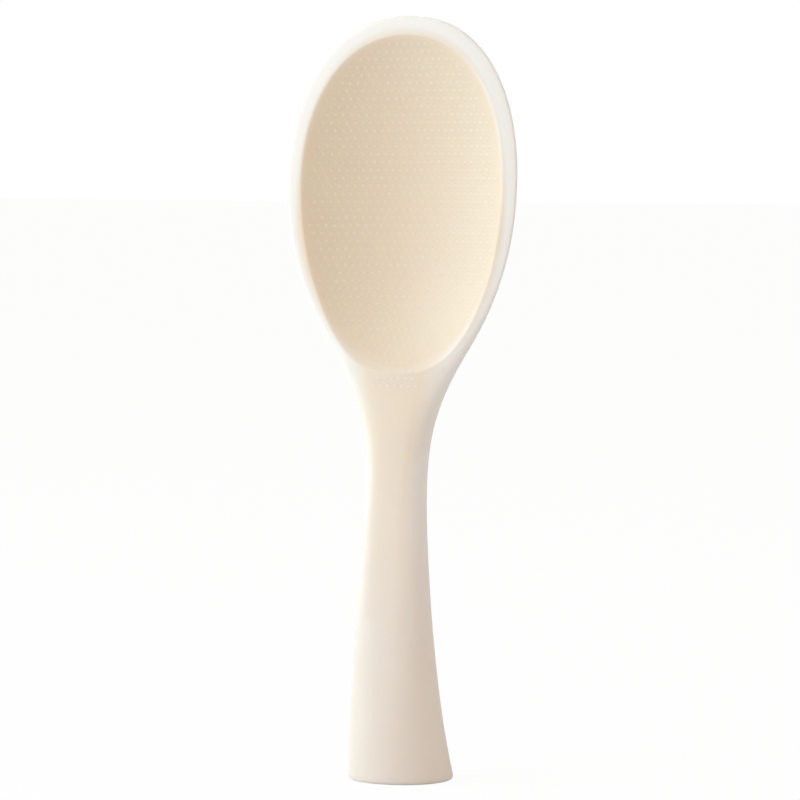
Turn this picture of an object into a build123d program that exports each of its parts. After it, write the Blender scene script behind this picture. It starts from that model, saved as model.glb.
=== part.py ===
from build123d import *
import os
from math import cos, pi, sin

# A free-standing rice paddle in millimetres. The origin is on the ground under the middle of the foot,
# +Z runs up to the tip, the hollow of the blade faces -Y and X runs across the blade.

# Outline, seen from the front
paddle_height = 220.0
blade_width = 68.8
blade_widest_height = 172.0
waist_width = 16.8
waist_height = 88.0
foot_width = 30.6

# Thickness, seen from the side, before and behind the line of widest points
foot_depth = 28.0
waist_depth = 13.0
border_depth = 0.7
border_back_depth = 3.1
tip_roundness = 2.4

# The line of widest points, seen from the side: it bows forward in the handle and leans back at the tip
handle_bow = 6.5
tip_lean = 7.9
lean_start_height = 150.0

# Hollow of the blade, set in from the outline by the plain border
side_border = 3.6
tip_border = 5.3
bowl_bottom_height = 117.6
bowl_depth = 10.0
bowl_floor = 2.6
bowl_lip_radius = 0.9
bowl_overrun = 0.8

# Foot, and the stepped hollow that rises from it: seat of the plug, pocket of the weight, core
foot_edge_radius = 1.2
plug_seat_radius = 10.0
plug_seat_height = 7.0
plug_seat_advance = 1.0
pocket_radius = 7.8
pocket_height = 13.0
pocket_advance = 2.8
core_radius = 4.8
core_height = 38.0
core_advance = 5.4
core_draft = 0.4
core_end_radius = 2.0
seat_mouth_chamfer = 0.4

# Weight, plug and seal
weight_clearance = 0.2
weight_chamfer = 0.6
plug_clearance = 0.08
plug_recess = 0.6
plug_chamfer = 0.3
plug_skirt_wall = 2.7
plug_floor = 2.2
plug_post_radius = 2.5
seal_thickness = 1.6
seal_squeeze = 0.4
seal_gap = 0.02
seal_centre_height = 4.6
seal_groove_room = 0.2
snap_bead = 0.3
snap_height = 1.9
snap_clearance = 0.05
overrun = 1.0

# Squareness of the level cuts: 2 is an ellipse, and more is nearer to a rectangle
foot_squareness = 2.1
waist_squareness = 3.4
blade_squareness = 4.5
tip_squareness = 2.19
bowl_end_squareness = 20
section_points = 32

# Handle's outline from the foot to the waist: share of the rise, share of the flare that is left
flare_shares = [(0.0, 1.0), (0.18, 0.742), (0.36, 0.508), (0.54, 0.306), (0.72, 0.149), (0.88, 0.036),
                (1.0, 0.0)]
flare_slope_share = -1.45

# Blade's outline from the waist to the widest line: share of the rise, share of the widening
widening_shares = [(0.0, 0.0), (0.1, 0.019), (0.2, 0.086), (0.3, 0.212), (0.4, 0.388), (0.5, 0.582),
                   (0.6, 0.738), (0.72, 0.877), (0.85, 0.965), (1.0, 1.0)]

# Line of widest points: share of the paddle's height, share of the handle's bow
bow_shares = [(0.0, 0.0), (0.09, 0.66), (0.18, 0.94), (0.27, 0.98), (0.36, 0.75), (0.45, 0.34),
              (0.54, 0.15), (0.68, 0.11), (1.0, 0.11)]

# Where the level cuts are taken: shares of the quarter turn of the foot's rounded edge, of the handle
# above that edge, of the lower blade, of the quarter turn of the tip's outline, and of half the
# hollow's length
foot_edge_cut_shares = [0.0, 0.25, 0.5, 0.75, 1.0]
handle_cut_shares = [0.03, 0.07, 0.14, 0.26, 0.40, 0.55, 0.70, 0.85, 1.0]
blade_cut_shares = [0.09, 0.18, 0.27, 0.36, 0.45, 0.54, 0.64, 0.75, 0.87, 1.0]
tip_cut_shares = [0.13, 0.26, 0.38, 0.50, 0.61, 0.71, 0.80, 0.88, 0.95]
bowl_cut_shares = [0.0, 0.14, 0.28, 0.40, 0.52, 0.62, 0.71, 0.78, 0.84, 0.92, 0.97]

# How the sizes run between those places
bulge_power = 3
lean_power = 1.5
bowl_depth_power = 0.8
border_narrowing_power = 2
thinning_end_share = 0.8
bowl_front_share = 0.3

# Places that follow from the sizes above
blade_rise = blade_widest_height - waist_height
bowl_top_height = paddle_height - tip_border
bowl_middle_height = (bowl_top_height + bowl_bottom_height) / 2
most_bulge = bowl_depth + bowl_floor - border_depth - border_back_depth
pocket_top_height = plug_seat_height + pocket_height
groove_floor_radius = plug_seat_radius - seal_thickness + seal_squeeze


def ease(share):
    """0 to 1, level and straight at both ends."""
    share = min(max(share, 0.0), 1.0)
    return share ** 3 * (10 - 15 * share + 6 * share ** 2)


def smooth_line(shares, directions=None):
    """A smooth line through (place, value) shares, with the directions given for its two ends."""
    places = [place for place, _ in shares]
    return Edge.make_spline(shares, tangents=directions, parameters=places, scale=False)


def value_at(line, place):
    """Value of such a line at one place along it."""
    return line.geom_adaptor().Value(place).Y()


level = (1, 0)
flare_line = smooth_line(flare_shares, [(1, flare_slope_share), level])
widening_line = smooth_line(widening_shares, [level, level])
bow_line = smooth_line(bow_shares)


def flare(height):
    """1 at the foot and 0 at the waist."""
    return value_at(flare_line, min(height / waist_height, 1.0))


def thinning(height):
    """0 at the waist and 1 where the blade has come down to its border's thickness."""
    return ease((height - waist_height) / (blade_rise * thinning_end_share))


def half_width(height):
    """Half the width of the paddle at one height."""
    if height <= waist_height:
        return waist_width / 2 + (foot_width - waist_width) / 2 * flare(height)
    if height <= blade_widest_height:
        widening = value_at(widening_line, (height - waist_height) / blade_rise)
        return waist_width / 2 + (blade_width - waist_width) / 2 * widening
    above = (height - blade_widest_height) / (paddle_height - blade_widest_height)
    return blade_width / 2 * max(0.0, 1 - above ** tip_squareness) ** (1 / tip_squareness)


def side_line(height):
    """How far back the line of widest points lies at one height."""
    above = max(0.0, height - lean_start_height) / (paddle_height - lean_start_height)
    return tip_lean * above ** lean_power - handle_bow * value_at(bow_line, height / paddle_height)


def handle_half_depth(height):
    """Half the thickness of the handle at one height."""
    return waist_depth / 2 + (foot_depth - waist_depth) / 2 * flare(height)


def front_depth(height):
    """How far the front stands before the line of widest points."""
    depth = handle_half_depth(height)
    return depth + (border_depth - depth) * thinning(height)


def back_depth(height):
    """How far the back stands behind the line of widest points, at the border."""
    depth = handle_half_depth(height)
    return depth + (border_back_depth - depth) * thinning(height)


def bulge(height):
    """How much further back the middle of the blade swells, to keep a wall behind its hollow."""
    if height > bowl_middle_height:
        share = (height - bowl_middle_height) / (paddle_height - bowl_middle_height)
        return most_bulge * (1 - share ** 2)
    share = min(1.0, (bowl_middle_height - height) / (bowl_middle_height - waist_height))
    return most_bulge * (1 - share ** 2) ** bulge_power


def squareness(height):
    """Squareness of the level cut at one height."""
    if height <= waist_height:
        return foot_squareness + (waist_squareness - foot_squareness) * ease(height / waist_height)
    return waist_squareness + (blade_squareness - waist_squareness) * thinning(height)


def level_cut(height, inset=0):
    """A level cut of the outside: a squared ellipse, with its back swelled out behind the hollow."""
    below_tip = min(1.0, (paddle_height - height) / tip_roundness)
    rounding = (1 - (1 - below_tip) ** 2) ** 0.5
    power, width, middle = squareness(height), half_width(height) - inset, side_line(height)
    front, back, swell = front_depth(height) - inset, back_depth(height) - inset, bulge(height)
    points = []
    for step in range(section_points):
        angle = pi / 2 + 2 * pi * step / section_points
        reach = (abs(cos(angle)) ** power + abs(sin(angle)) ** power) ** (-1 / power)
        across, along = reach * cos(angle), reach * sin(angle)
        offset = front * along
        if along > 0:
            offset = back * along + swell * (1 - across ** 2)
        points.append((width * across, middle + offset * rounding, height))
    steps = [step / section_points for step in range(section_points + 1)]
    return Wire([Edge.make_spline(points, periodic=True, parameters=steps)])


def outside():
    """The whole moulding before it is hollowed."""
    cuts = []
    for share in foot_edge_cut_shares:
        turn = share * pi / 2
        cuts.append(level_cut(foot_edge_radius * (1 - cos(turn)), foot_edge_radius * (1 - sin(turn))))
    heights = [foot_edge_radius + share * (waist_height - foot_edge_radius) for share in handle_cut_shares]
    heights += [waist_height + share * blade_rise for share in blade_cut_shares]
    for share in tip_cut_shares:
        rise = sin(share * pi / 2) ** (2 / tip_squareness)
        heights.append(blade_widest_height + rise * (paddle_height - blade_widest_height))
    cuts += [level_cut(height) for height in heights]
    return Solid.make_loft(cuts + [Vertex(0, side_line(paddle_height), paddle_height)])


def hollow_half_width(height, top, bottom):
    """Half the width of the hollow at one height: the outline drawn in by the plain border.

    The hollow runs out flat at its lower end, where its edge draws in by itself, so the border that is
    taken off there is less.
    """
    if height > blade_widest_height:
        above = (height - blade_widest_height) / (top - blade_widest_height)
        closing = (1 - min(above, 1.0) ** tip_squareness) ** (1 / tip_squareness)
        return (blade_width / 2 - side_border) * closing
    below = max(0.0, bowl_middle_height - height) / (bowl_middle_height - bottom)
    border = side_border * (1 - below ** border_narrowing_power)
    return (half_width(height) - border) * (1 - below ** bowl_end_squareness) ** 0.5


def hollow_space():
    """The space of the hollow: level arcs that stand a little proud of the front of the blade."""
    top, bottom = bowl_top_height + bowl_overrun, bowl_bottom_height - bowl_overrun
    sides = [-share for share in bowl_cut_shares[:0:-1]] + bowl_cut_shares
    cuts = []
    for side in sides:
        height = bowl_middle_height + side * (top - bottom) / 2
        width = hollow_half_width(height, top, bottom) + bowl_overrun
        depth = (bowl_depth + bowl_overrun) * (1 - side ** 2) ** bowl_depth_power
        front = side_line(height) - front_depth(height) - bowl_overrun
        left, right = (-width, front, height), (width, front, height)
        behind, before = (0, front + depth, height), (0, front - depth * bowl_front_share, height)
        cuts.append(Wire([Edge.make_three_point_arc(left, behind, right),
                          Edge.make_three_point_arc(right, before, left)]))
    ends = []
    for height in (bottom, top):
        ends.append(Vertex(0, side_line(height) - front_depth(height) - bowl_overrun, height))
    return Solid.make_loft([ends[0]] + cuts + [ends[1]])


def upright(radius, bottom, height, advance):
    """A round bar standing on the height given, set forward from the middle of the foot."""
    return Pos(0, -advance, bottom) * Cylinder(radius, height, align=(Align.CENTER, Align.CENTER, Align.MIN))


def ring(major_radius, minor_radius, height):
    """A round ring about the plug's axis."""
    return Pos(0, -plug_seat_advance, height) * Torus(major_radius, minor_radius)


def foot_hollow():
    """The hollow of the foot, drawn out downwards: plug seat, weight pocket and core."""
    seat = upright(plug_seat_radius, -overrun, plug_seat_height + overrun, plug_seat_advance)
    mouth = Pos(0, -plug_seat_advance, -overrun) * Cone(
        plug_seat_radius + seat_mouth_chamfer + overrun, plug_seat_radius - overrun,
        seat_mouth_chamfer + 2 * overrun, align=(Align.CENTER, Align.CENTER, Align.MIN))
    pocket = upright(pocket_radius, plug_seat_height - overrun, pocket_height + overrun, pocket_advance)
    core = Pos(0, -core_advance, pocket_top_height - overrun) * Cone(
        core_radius, core_radius - core_draft, core_height + overrun,
        align=(Align.CENTER, Align.CENTER, Align.MIN))
    core = fillet(core.edges().sort_by(Axis.Z)[-1], core_end_radius)
    snap_groove = ring(plug_seat_radius, snap_bead + snap_clearance, snap_height)
    return seat + mouth + pocket + core + snap_groove


def blade_and_handle():
    """Blade, neck, handle and foot, moulded in one."""
    body = outside() - hollow_space()
    lip = [edge for edge in body.edges() if edge.bounding_box().min.Z > waist_height]
    return fillet(lip, bowl_lip_radius) - foot_hollow()


def ballast_weight():
    """Steel slug that fills the pocket and rests on the plug."""
    slug = upright(pocket_radius - weight_clearance, plug_seat_height, pocket_height, pocket_advance)
    return chamfer(slug.edges().filter_by(GeomType.CIRCLE), weight_chamfer)


def base_plug():
    """Cup that closes the foot from below: a floor, a grooved skirt, a snap bead and a post."""
    radius = plug_seat_radius - plug_clearance
    body = upright(radius, plug_recess, plug_seat_height - plug_recess, plug_seat_advance)
    body = chamfer(body.edges().filter_by(GeomType.CIRCLE), plug_chamfer)
    inside_bottom = plug_recess + plug_floor
    inside = upright(radius - plug_skirt_wall, inside_bottom, plug_seat_height, plug_seat_advance)
    post = upright(plug_post_radius, inside_bottom, plug_seat_height - inside_bottom, plug_seat_advance)
    groove_height = seal_height() + 2 * seal_groove_room
    groove_bottom = seal_centre_height - groove_height / 2
    groove = upright(plug_seat_radius, groove_bottom, groove_height, plug_seat_advance)
    groove -= upright(groove_floor_radius, groove_bottom, groove_height, plug_seat_advance)
    bead = ring(radius, snap_bead, snap_height)
    return body - inside + post - groove + bead


def seal_height():
    """Height of the seal's section once it is squeezed flat by the seat."""
    return seal_thickness ** 2 / (seal_thickness - seal_squeeze)


def seal_ring():
    """Rubber ring in the plug's groove, squeezed to an oval."""
    half_reach = (plug_seat_radius - groove_floor_radius) / 2
    section = Ellipse(half_reach - seal_gap, seal_height() / 2)
    section = Plane.XZ * Pos(groove_floor_radius + half_reach, seal_centre_height) * section
    return Pos(0, -plug_seat_advance, 0) * revolve(section, Axis.Z)


os.makedirs("parts", exist_ok=True)

for name, piece in (("blade_and_handle", blade_and_handle()), ("ballast_weight", ballast_weight()),
                    ("base_plug", base_plug()), ("seal_ring", seal_ring())):
    export_step(piece, f"parts/{name}.step")
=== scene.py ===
import bmesh
import bpy
from math import cos, radians, sin
from mathutils import Matrix, Vector
from mathutils.bvhtree import BVHTree


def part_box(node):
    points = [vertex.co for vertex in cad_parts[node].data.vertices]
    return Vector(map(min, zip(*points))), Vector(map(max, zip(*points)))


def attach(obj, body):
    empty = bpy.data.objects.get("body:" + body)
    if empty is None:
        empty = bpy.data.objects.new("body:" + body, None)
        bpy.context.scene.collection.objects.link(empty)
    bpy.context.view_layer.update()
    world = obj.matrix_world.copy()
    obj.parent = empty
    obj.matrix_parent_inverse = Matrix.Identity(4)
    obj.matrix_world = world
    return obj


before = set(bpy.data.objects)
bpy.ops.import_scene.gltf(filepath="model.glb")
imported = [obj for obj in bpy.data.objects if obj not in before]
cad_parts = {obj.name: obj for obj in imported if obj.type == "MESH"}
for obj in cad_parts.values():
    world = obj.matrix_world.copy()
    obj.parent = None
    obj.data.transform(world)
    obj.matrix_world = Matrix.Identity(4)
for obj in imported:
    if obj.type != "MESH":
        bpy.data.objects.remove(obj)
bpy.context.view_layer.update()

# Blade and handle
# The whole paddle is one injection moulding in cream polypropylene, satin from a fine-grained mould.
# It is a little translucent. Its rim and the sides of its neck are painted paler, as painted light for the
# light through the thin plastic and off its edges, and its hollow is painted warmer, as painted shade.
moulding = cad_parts["blade_and_handle"]
moulding_low, moulding_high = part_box("blade_and_handle")
paddle_height = moulding_high.z

# The hollow's outline, and how the upper blade leans back
hollow_middle_height = 0.1662
hollow_half_length = 0.0486
hollow_half_width = 0.0307
hollow_squareness = 2.2
hollow_squareness_low = 1.9
squareness_start_height = 0.150
squareness_end_height = 0.180
blade_lean = 0.0079
lean_start_height = 0.150
lean_power = 1.5

# Where the colours change: depths into the skin, then shares of the hollow's outline, then the handle
front_skin_depth = 0.0008
back_skin_depth = 0.0022
front_lip_start = 0.97
front_lip_end = 1.10
back_lip_start = 0.80
back_lip_end = 1.40
front_hollow_end = 1.0
back_hollow_end = 1.4
full_hollow_colour = 0.93
blade_start_height = 0.140
blade_end_height = 0.160
neck_start_height = 0.090
neck_end_height = 0.120
neck_side_start = 0.0045
neck_side_end = 0.0078
blade_side_start = 0.008
blade_side_end = 0.016
pale_sides_start_height = 0.035
pale_sides_end_height = 0.095
warm_neck_start_height = 0.045
warm_neck_end_height = 0.112
warm_neck_share = 0.65

handle_cream = (0.815, 0.737, 0.66)
handle_cream_warmer = (0.80, 0.717, 0.635)
# Painted shade: the warmer, darker cream of the hollow, which the neck is painted partway to
hollow_painted_shade_cream = (0.80, 0.675, 0.515)
# Painted light: the pale cream on the rim and on the sides of the neck
painted_light_cream = (0.85, 0.83, 0.795)
cloud_scale = 55.0
flow_scale = 420.0
grain_scale = 5200.0
grain_strength = 0.12
grain_height = 0.00002
least_roughness = 0.44
most_roughness = 0.52
plastic_ior = 1.49
scatter_share = 0.5
scatter_radius = (1.0, 0.72, 0.45)
scatter_depth = 0.0022
board_step = (200, 160)


def set_socket(tree, socket, value):
    """Links an input socket to another node's output, or sets its value."""
    if isinstance(value, bpy.types.NodeSocket):
        tree.links.new(value, socket)
    else:
        socket.default_value = value


def set_sockets(tree, node, **sockets):
    """Sets or links a node's input sockets by name."""
    for name, value in sockets.items():
        set_socket(tree, node.inputs[name.replace("_", " ")], value)


def add_node(tree, kind, place, **sockets):
    """A shader node with its input sockets set or linked, at a place on the board."""
    node = tree.nodes.new(kind)
    node.location = (place[0] * board_step[0], place[1] * board_step[1])
    set_sockets(tree, node, **sockets)
    return node


def new_material(name):
    """An empty node material with its surface shader and output."""
    material = bpy.data.materials.new(name)
    material.use_nodes = True
    tree = material.node_tree
    tree.nodes.clear()
    shader = add_node(tree, "ShaderNodeBsdfPrincipled", (0, 0))
    output = add_node(tree, "ShaderNodeOutputMaterial", (2, 0))
    tree.links.new(shader.outputs["BSDF"], output.inputs["Surface"])
    return material, tree, shader


def wear(piece, material):
    """Gives a piece this material and no other."""
    piece.data.materials.clear()
    piece.data.materials.append(material)


def object_place(tree, place):
    """The place on the piece, in its own coordinates."""
    return add_node(tree, "ShaderNodeTexCoord", place).outputs["Object"]


def noise(tree, place, vector, scale, detail):
    """Noise from 0 to 1."""
    node = add_node(tree, "ShaderNodeTexNoise", place, Vector=vector, Scale=scale, Detail=detail)
    return node.outputs["Fac"]


def math_node(tree, operation, place, *values):
    """A Math node's result."""
    node = add_node(tree, "ShaderNodeMath", place)
    node.operation = operation
    for number, value in enumerate(values):
        set_socket(tree, node.inputs[number], value)
    return node.outputs[0]


def share_between(tree, place, value, start, end, first=0.0, last=1.0):
    """Runs from first to last while the value runs from start to end."""
    node = add_node(tree, "ShaderNodeMapRange", place, Value=value, From_Min=start, From_Max=end,
                    To_Min=first, To_Max=last)
    return node.outputs["Result"]


def colour_between(tree, place, share, first, second):
    """Colour that runs from first to second with share."""
    ramp = add_node(tree, "ShaderNodeValToRGB", place, Fac=share)
    ramp.color_ramp.elements[0].color = (*first, 1)
    ramp.color_ramp.elements[1].color = (*second, 1)
    return ramp.outputs["Color"]


def mix_colours(tree, place, share, first, second):
    """Colour that is first where share is 0 and second where it is 1. Either may be a node's output."""
    mix = add_node(tree, "ShaderNodeMix", place, Factor=share)
    mix.data_type = "RGBA"
    set_sockets(tree, mix, A=first, B=second)
    return mix.outputs["Result"]


def bumps(tree, place, height, strength, distance):
    """Normal of a surface with small bumps."""
    node = add_node(tree, "ShaderNodeBump", place, Height=height, Strength=strength, Distance=distance)
    return node.outputs["Normal"]


cream_plastic, tree, plastic = new_material("cream_polypropylene")
place_on_piece = object_place(tree, (-9, 0))
axes = add_node(tree, "ShaderNodeSeparateXYZ", (-8, -1), Vector=place_on_piece).outputs
cloud = noise(tree, (-6, 2), place_on_piece, cloud_scale, detail=3.0)
body_colour = colour_between(tree, (-4, 2), cloud, handle_cream, handle_cream_warmer)

# How far out a place lies from the middle of the hollow, 1 being its outline
from_centre_line = math_node(tree, "ABSOLUTE", (-7, -1), axes["X"])
across = math_node(tree, "DIVIDE", (-6, -1), from_centre_line, hollow_half_width)
above_middle = math_node(tree, "SUBTRACT", (-7, -2), axes["Z"], hollow_middle_height)
from_middle_height = math_node(tree, "ABSOLUTE", (-6, -2), above_middle)
along = math_node(tree, "DIVIDE", (-5, -2), from_middle_height, hollow_half_length)
squareness = share_between(tree, (-6, -3), axes["Z"], squareness_start_height, squareness_end_height,
                           hollow_squareness_low, hollow_squareness)
from_middle = math_node(tree, "ADD", (-3, -1), math_node(tree, "POWER", (-4, -1), across, squareness),
                        math_node(tree, "POWER", (-4, -2), along, squareness))

# 0 on the front of the blade and 1 on its back, where the colours run softly into each other
above_lean_start = share_between(tree, (-8, -7), axes["Z"], lean_start_height, paddle_height)
lean = math_node(tree, "MULTIPLY", (-6, -7), math_node(tree, "POWER", (-7, -7), above_lean_start, lean_power),
                 blade_lean)
into_skin = math_node(tree, "SUBTRACT", (-5, -7), axes["Y"], lean)
behind = share_between(tree, (-4, -7), into_skin, front_skin_depth, back_skin_depth)

# Painted light: the blade is painted pale beyond the hollow's lip, for light through the thin rim and off its
# edges, and so are the sides of the neck, against their shade
lip_start = share_between(tree, (-3, -7), behind, 0.0, 1.0, front_lip_start, back_lip_start)
lip_end = share_between(tree, (-3, -8), behind, 0.0, 1.0, front_lip_end, back_lip_end)
beyond_lip = share_between(tree, (-2, -1), from_middle, lip_start, lip_end)
on_blade = share_between(tree, (-5, -3), axes["Z"], blade_start_height, blade_end_height)
side_start = share_between(tree, (-6, -4), axes["Z"], neck_start_height, neck_end_height,
                           neck_side_start, blade_side_start)
side_end = share_between(tree, (-6, -5), axes["Z"], neck_start_height, neck_end_height,
                         neck_side_end, blade_side_end)
beside_middle = share_between(tree, (-5, -4), from_centre_line, side_start, side_end)
above_waist = share_between(tree, (-5, -5), axes["Z"], pale_sides_start_height, pale_sides_end_height)
painted_light_sides = math_node(tree, "MULTIPLY", (-4, -4), beside_middle, above_waist)
painted_light_place = math_node(tree, "MAXIMUM", (-3, -3), on_blade, painted_light_sides)
painted_light_share = math_node(tree, "MULTIPLY", (-1, -1), beyond_lip, painted_light_place)

# Painted shade: the hollow is painted warmer and darker, for the warm shade of light bouncing round inside
# it, and the neck below it is painted partway to the same colour
hollow_end = share_between(tree, (-4, 4), behind, 0.0, 1.0, front_hollow_end, back_hollow_end)
in_hollow = share_between(tree, (-3, 3), from_middle, hollow_end, full_hollow_colour)
on_neck = share_between(tree, (-3, 4), axes["Z"], warm_neck_start_height, warm_neck_end_height,
                        last=warm_neck_share)
hollow_share = math_node(tree, "MAXIMUM", (-2, 3), in_hollow, on_neck)
colour_with_painted_shade = mix_colours(tree, (-1, 2), hollow_share, body_colour, (*hollow_painted_shade_cream, 1))

grain = noise(tree, (-6, -9), place_on_piece, grain_scale, detail=2.0)
flow = noise(tree, (-6, -10), place_on_piece, flow_scale, detail=2.0)
grain_and_flow = math_node(tree, "ADD", (-4, -9), grain, flow)
set_sockets(tree, plastic,
            Base_Color=mix_colours(tree, (0, 1), painted_light_share, colour_with_painted_shade, (*painted_light_cream, 1)),
            Normal=bumps(tree, (-2, -9), grain_and_flow, grain_strength, grain_height),
            Roughness=share_between(tree, (-2, -4), cloud, 0.0, 1.0, least_roughness, most_roughness),
            IOR=plastic_ior, Subsurface_Weight=scatter_share, Subsurface_Radius=scatter_radius,
            Subsurface_Scale=scatter_depth)
wear(moulding, cream_plastic)

# Dots in the hollow
# Rows of small raised domes, moulded with the blade, keep rice from sticking to it.
# They cover the hollow and run on below the middle of its lower lip, with none on the lip's rounding.
dot_radius = 0.00070
dot_height = 0.00007
dot_sink = 0.00002
dot_row_pitch = 0.00228
dot_pitch = 0.00214
dot_row_stagger = 0.5
dot_field_low = 0.1184
dot_field_high = 0.2136
dot_field_middle = (dot_field_low + dot_field_high) / 2
dot_field_half_length = (dot_field_high - dot_field_low) / 2
dot_field_half_width = 0.0284
dot_apron_low = 0.1140
dot_apron_top = 0.1170
dot_apron_half_width = 0.0070
dot_hollow_start = 0.1210
dot_least_flatness = 0.97
dot_sides = 10
dot_ball_rings = 32
# Painted light and shade: the dots carry the hollow's warm painted shade but are painted a little paler, so
# they show as lit spots where the hollow is shaded and their shaded sides fade where it is lit; the apron
# dots are painted paler than the neck
dot_painted_shade_and_light_cream = (0.81, 0.70, 0.55)
dot_painted_shade_and_light_cream_warmer = (0.795, 0.68, 0.53)
apron_dot_painted_light_cream = (0.815, 0.722, 0.605)
dot_cloud_scale = 300.0
dot_roughness = 0.5

bpy.ops.object.select_all(action="DESELECT")
dot_ball_radius = (dot_radius ** 2 + dot_height ** 2) / (2 * dot_height)
bpy.ops.mesh.primitive_uv_sphere_add(segments=dot_sides, ring_count=dot_ball_rings, radius=dot_ball_radius)
dot = bpy.context.object
bpy.ops.object.mode_set(mode="EDIT")
bpy.ops.mesh.select_all(action="SELECT")
bpy.ops.mesh.bisect(plane_co=(0, 0, dot_ball_radius - dot_height), plane_no=(0, 0, 1), clear_inner=True)
bpy.ops.mesh.select_all(action="SELECT")
bpy.ops.transform.translate(value=(0, 0, dot_height - dot_ball_radius))
bpy.ops.object.mode_set(mode="OBJECT")

dot_plastic, tree, dot_shader = new_material("cream_dots")
place_on_piece = object_place(tree, (-6, 0))
dot_cloud = noise(tree, (-4, 0), place_on_piece, dot_cloud_scale, detail=2.0)
hollow_dot_colour = colour_between(tree, (-2, 1), dot_cloud, dot_painted_shade_and_light_cream, dot_painted_shade_and_light_cream_warmer)
dot_axes = add_node(tree, "ShaderNodeSeparateXYZ", (-4, 3), Vector=place_on_piece).outputs
above_apron = share_between(tree, (-3, 3), dot_axes["Z"], dot_apron_top, dot_hollow_start)
dot_colour = mix_colours(tree, (-1, 3), above_apron, (*apron_dot_painted_light_cream, 1), hollow_dot_colour)
set_sockets(tree, dot_shader, Base_Color=dot_colour, Roughness=dot_roughness, IOR=plastic_ior)

skin = BVHTree.FromPolygons([vertex.co for vertex in moulding.data.vertices],
                            [polygon.vertices for polygon in moulding.data.polygons])
into_blade = Vector((0, 1, 0))
before_blade = moulding_low.y - dot_radius


def front_skin(x, height):
    """The front of the moulding straight behind one place: the spot and the surface's normal there."""
    return skin.ray_cast(Vector((x, before_blade, height)), into_blade)[:2]


field = bmesh.new()
rows = int((dot_field_high - dot_apron_low) / dot_row_pitch) + 1
columns = int(dot_field_half_width / dot_pitch) + 1
for row in range(rows):
    height = dot_apron_low + row * dot_row_pitch
    field_squareness = hollow_squareness if height > dot_field_middle else hollow_squareness_low
    for column in range(-columns, columns + 1):
        x = (column + dot_row_stagger * (row % 2)) * dot_pitch
        from_field_middle = ((abs(x) / dot_field_half_width) ** field_squareness
                             + (abs(height - dot_field_middle) / dot_field_half_length) ** field_squareness)
        on_apron = height < dot_field_middle and abs(x) < dot_apron_half_width
        if from_field_middle > 1 and not on_apron:
            continue
        spot, normal = front_skin(x, height)
        _, below = front_skin(x, height - dot_radius)
        _, above = front_skin(x, height + dot_radius)
        if spot is None or below.dot(above) < dot_least_flatness:
            continue
        turned = normal.to_track_quat("Z", "Y").to_matrix().to_4x4()
        seat = Matrix.Translation(spot - normal * dot_sink) @ turned
        first_new = len(field.verts)
        field.from_mesh(dot.data)
        field.verts.ensure_lookup_table()
        bmesh.ops.transform(field, matrix=seat, verts=field.verts[first_new:])
dots_mesh = bpy.data.meshes.new("rice_release_dots")
field.to_mesh(dots_mesh)
field.free()
dots = bpy.data.objects.new("rice_release_dots", dots_mesh)
bpy.context.scene.collection.objects.link(dots)
bpy.data.objects.remove(dot)
bpy.ops.object.select_all(action="DESELECT")
dots.select_set(True)
bpy.context.view_layer.objects.active = dots
bpy.ops.object.shade_smooth()
dots_mesh.materials.append(dot_plastic)
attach(dots, "root")

# Ballast weight
# A slug sawn from steel bar, its edges broken, drops into the pocket above the plug.
# Its turned side shows fine rings and its skin is dull.
steel_dark = (0.50, 0.50, 0.51)
steel_light = (0.66, 0.66, 0.67)
ring_stretch = (40.0, 40.0, 4000.0)
ring_strength = 0.3
ring_height = 0.00002
least_steel_roughness = 0.28
most_steel_roughness = 0.5
steel, tree, metal = new_material("turned_steel")
stretched = add_node(tree, "ShaderNodeMapping", (-5, 0), Vector=object_place(tree, (-6, 0)),
                     Scale=ring_stretch)
rings = noise(tree, (-4, 0), stretched.outputs["Vector"], scale=1.0, detail=4.0)
set_sockets(tree, metal,
            Base_Color=colour_between(tree, (-2, 1), rings, steel_dark, steel_light),
            Normal=bumps(tree, (-2, -2), rings, ring_strength, ring_height),
            Roughness=share_between(tree, (-2, 0), rings, 0.0, 1.0, least_steel_roughness,
                                    most_steel_roughness),
            Metallic=1.0)
wear(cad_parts["ballast_weight"], steel)

# Seal ring
# A round ring of pale silicone rubber, squeezed between the plug's groove and the seat in the foot.
# It is matt, with a faint bloom on its skin.
rubber_grey = (0.56, 0.54, 0.50)
rubber_bloom = (0.64, 0.62, 0.58)
bloom_scale = 900.0
bloom_strength = 0.2
bloom_height = 0.00003
rubber_roughness = 0.72
rubber_sheen = 0.15
rubber, tree, soft = new_material("pale_silicone_rubber")
bloom = noise(tree, (-4, 0), object_place(tree, (-6, 0)), bloom_scale, detail=4.0)
set_sockets(tree, soft,
            Base_Color=colour_between(tree, (-2, 1), bloom, rubber_grey, rubber_bloom),
            Normal=bumps(tree, (-2, -2), bloom, bloom_strength, bloom_height),
            Roughness=rubber_roughness, Sheen_Weight=rubber_sheen)
wear(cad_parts["seal_ring"], rubber)

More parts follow.
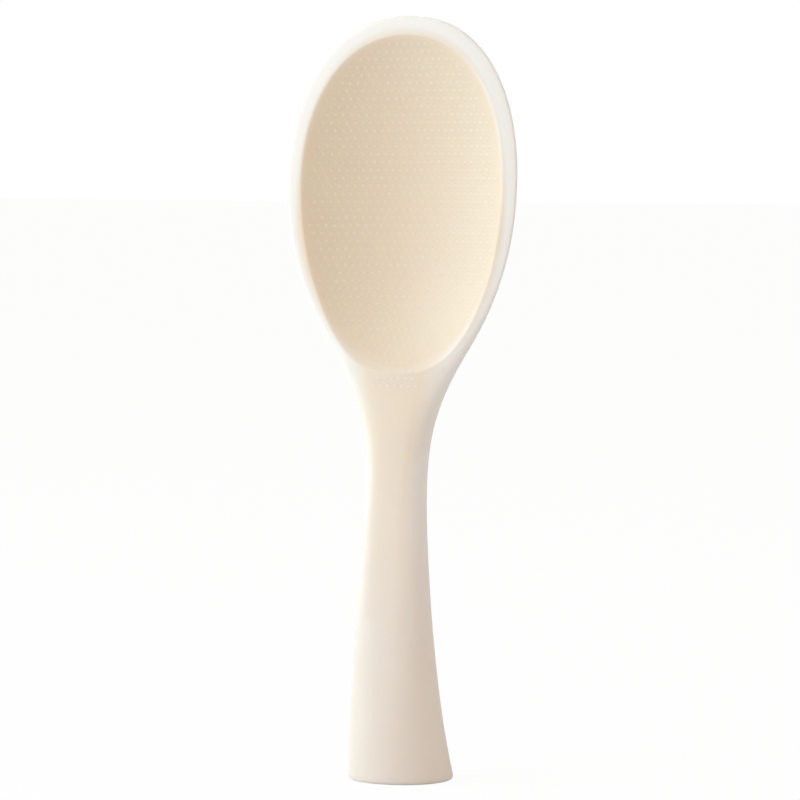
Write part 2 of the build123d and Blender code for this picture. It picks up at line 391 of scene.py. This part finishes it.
# Base plug
# A cup moulded in the same cream plastic, pushed up into the foot until its bead snaps home.
# It holds the weight, and its seal keeps the hollow handle dry.
plug_cream = (0.79, 0.70, 0.575)
plug_cream_warmer = (0.76, 0.67, 0.54)
plug_cloud_scale = 140.0
plug_grain_strength = 0.15
plug_roughness = 0.5
plug_scatter_share = 0.3
plug_scatter_depth = 0.0015
plug_plastic, tree, plug_shader = new_material("cream_plug_plastic")
place_on_piece = object_place(tree, (-6, 0))
plug_cloud = noise(tree, (-4, 1), place_on_piece, plug_cloud_scale, detail=3.0)
plug_grain = noise(tree, (-4, -1), place_on_piece, grain_scale, detail=2.0)
set_sockets(tree, plug_shader,
            Base_Color=colour_between(tree, (-2, 1), plug_cloud, plug_cream, plug_cream_warmer),
            Normal=bumps(tree, (-2, -1), plug_grain, plug_grain_strength, grain_height),
            Roughness=plug_roughness, Subsurface_Weight=plug_scatter_share,
            Subsurface_Radius=scatter_radius, Subsurface_Scale=plug_scatter_depth)
wear(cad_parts["base_plug"], plug_plastic)

# Floor and surroundings
# A seamless pale sheet that the paddle stands on, and even white all round.
# Both look white to the camera, while the light that reaches the paddle from all round is a shade warm.
sheet_size = 14.0
sheet_grey = (0.86, 0.86, 0.86)
sheet_roughness = 0.9
sheet_whiteness = 0.95
surround_white = (1.0, 1.0, 1.0)
surround_light = (1.0, 0.90, 0.83)
surround_light_strength = 0.76


def seen_by_camera(tree, column, row):
    """1 for what the camera sees, straight or in gloss or through clear matter, and 0 for lighting."""
    rays = add_node(tree, "ShaderNodeLightPath", (column, row)).outputs
    seen = math_node(tree, "MAXIMUM", (column + 1, row), rays["Is Camera Ray"], rays["Is Glossy Ray"])
    return math_node(tree, "MAXIMUM", (column + 2, row), seen, rays["Is Transmission Ray"])


def blend(tree, place, share, first, second):
    """Shader that is first where share is 0 and second where it is 1."""
    node = add_node(tree, "ShaderNodeMixShader", place, Fac=share)
    tree.links.new(first, node.inputs[1])
    tree.links.new(second, node.inputs[2])
    return node.outputs["Shader"]


bpy.ops.mesh.primitive_plane_add(size=sheet_size, location=(0, 0, 0))
sheet = bpy.context.object
sheet.name = "studio_sheet"
sheet_white, tree, sheet_shader = new_material("sheet_white")
set_sockets(tree, sheet_shader, Base_Color=(*sheet_grey, 1), Roughness=sheet_roughness,
            Specular_IOR_Level=0.0)
white_glow = add_node(tree, "ShaderNodeEmission", (0, -2), Strength=1.0)
glow_share = math_node(tree, "MULTIPLY", (0, 3), seen_by_camera(tree, -3, 3), sheet_whiteness)
sheet_surface = blend(tree, (1, 1), glow_share, sheet_shader.outputs["BSDF"],
                      white_glow.outputs["Emission"])
tree.links.new(sheet_surface, tree.nodes["Material Output"].inputs["Surface"])
sheet.data.materials.append(sheet_white)

world = bpy.data.worlds.new("white_studio")
bpy.context.scene.world = world
world.use_nodes = True
tree = world.node_tree
tree.nodes.clear()
seen_white = add_node(tree, "ShaderNodeBackground", (0, 1), Color=(*surround_white, 1), Strength=1.0)
lighting = add_node(tree, "ShaderNodeBackground", (0, -1), Color=(*surround_light, 1),
                    Strength=surround_light_strength)
surroundings = blend(tree, (1, 0), seen_by_camera(tree, -3, 0), lighting.outputs["Background"],
                     seen_white.outputs["Background"])
add_node(tree, "ShaderNodeOutputWorld", (2, 0), Surface=surroundings)

# Lamps
# Two broad soft lamps to the left of the paddle, a shade cooler than the light all round.
# Both face the middle of the paddle from the same distance.
lamp_distance = 1.2
lamp_size = 0.7
lamp_power = 5.5
lamp_colour = (0.72, 0.90, 1.0)
aim = Vector((0, 0, paddle_height / 2))


def direction(azimuth, elevation):
    """Out from the paddle, in degrees round to the viewer's right from its front, and up."""
    turn, rise = radians(azimuth), radians(elevation)
    return Vector((sin(turn) * cos(rise), -cos(turn) * cos(rise), sin(rise)))


def soft_lamp(name, azimuth, elevation):
    """A square lamp that faces the middle of the paddle."""
    data = bpy.data.lights.new(name, "AREA")
    data.shape = "SQUARE"
    data.size = lamp_size
    data.energy = lamp_power
    data.color = lamp_colour
    lamp = bpy.data.objects.new(name, data)
    bpy.context.scene.collection.objects.link(lamp)
    towards = direction(azimuth, elevation)
    lamp.location = aim + towards * lamp_distance
    lamp.rotation_euler = towards.to_track_quat("Z", "Y").to_euler()


soft_lamp("left_lamp", azimuth=-80, elevation=20)
soft_lamp("front_left_lamp", azimuth=-45, elevation=30)

# Camera
# A long lens to the right of the front, a little above the middle of the paddle.
# It sees the given width where the paddle stands.
camera_azimuth = 18
camera_elevation = 3.8
camera_distance = 1.3
camera_aim_height = 0.110
camera_shift_x = -0.00125
camera_shift_y = -0.00124
seen_width = 0.23017
sensor_width = 36
farthest_seen = 100
camera_data = bpy.data.cameras.new("studio_camera")
camera_data.sensor_width = sensor_width
camera_data.lens = sensor_width * camera_distance / seen_width
camera_data.shift_x = camera_shift_x
camera_data.shift_y = camera_shift_y
camera_data.clip_end = farthest_seen
camera = bpy.data.objects.new("studio_camera", camera_data)
bpy.context.scene.collection.objects.link(camera)
back = direction(camera_azimuth, camera_elevation)
camera.location = Vector((0, 0, camera_aim_height)) + back * camera_distance
camera.rotation_euler = back.to_track_quat("Z", "Y").to_euler()
bpy.context.scene.camera = camera
bpy.context.scene.view_settings.view_transform = "Standard"
